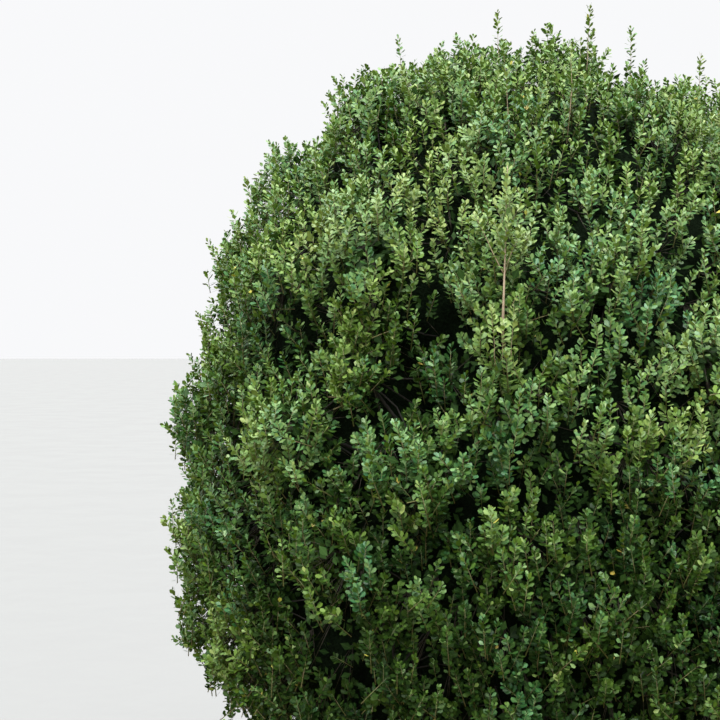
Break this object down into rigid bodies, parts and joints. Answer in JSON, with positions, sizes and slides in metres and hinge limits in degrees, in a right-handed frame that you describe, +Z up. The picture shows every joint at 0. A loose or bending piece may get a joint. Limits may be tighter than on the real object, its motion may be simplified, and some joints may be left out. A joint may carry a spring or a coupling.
{
  "type": "potted japanese holly",
  "caption": "Tall dense rounded evergreen shrub with small oval leaves on many boughs, in a plain round clay pot of soil.",
  "frame": {"origin": "middle of the pot's flat underside, on the surface that it stands on", "axes": "+Z up along the trunk; the side of the crown that the picture shows faces -Y, with +X to its right"},
  "size_m": [1.9115, 1.9224, 2.7419],
  "materials": {
    "clay": "matt fired clay with a faint mineral bloom",
    "soil": "loose dark bark-based potting mix",
    "bark": "smooth grey-brown bark, faintly ridged",
    "foliage": "glossy small evergreen leaves, lighter at the tips"
  },
  "bodies": {
    "root": {"pot": "clay", "soil": "soil", "trunk": "bark", "bough_top": "bark", "bough_upper_1": "bark", "bough_upper_2": "bark", "bough_upper_3": "bark", "bough_upper_4": "bark", "bough_shoulder_1": "bark", "bough_shoulder_2": "bark", "bough_shoulder_3": "bark", "bough_shoulder_4": "bark", "bough_shoulder_5": "bark", "bough_shoulder_6": "bark", "bough_shoulder_7": "bark", "bough_belly_1": "bark", "bough_belly_2": "bark", "bough_belly_3": "bark", "bough_belly_4": "bark", "bough_belly_5": "bark", "bough_belly_6": "bark", "bough_belly_7": "bark", "bough_skirt_1": "bark", "bough_skirt_2": "bark", "bough_skirt_3": "bark", "bough_skirt_4": "bark", "bough_skirt_5": "bark", "bough_skirt_6": "bark", "bough_skirt_7": "bark", "foliage_top": "foliage", "foliage_upper_1": "foliage", "foliage_upper_2": "foliage", "foliage_upper_3": "foliage", "foliage_upper_4": "foliage", "foliage_shoulder_1": "foliage", "foliage_shoulder_2": "foliage", "foliage_shoulder_3": "foliage", "foliage_shoulder_4": "foliage", "foliage_shoulder_5": "foliage", "foliage_shoulder_6": "foliage", "foliage_shoulder_7": "foliage", "foliage_belly_1": "foliage", "foliage_belly_2": "foliage", "foliage_belly_3": "foliage", "foliage_belly_4": "foliage", "foliage_belly_5": "foliage", "foliage_belly_6": "foliage", "foliage_belly_7": "foliage", "foliage_skirt_1": "foliage", "foliage_skirt_2": "foliage", "foliage_skirt_3": "foliage", "foliage_skirt_4": "foliage", "foliage_skirt_5": "foliage", "foliage_skirt_6": "foliage", "foliage_skirt_7": "foliage"}
  },
  "joints": []
}
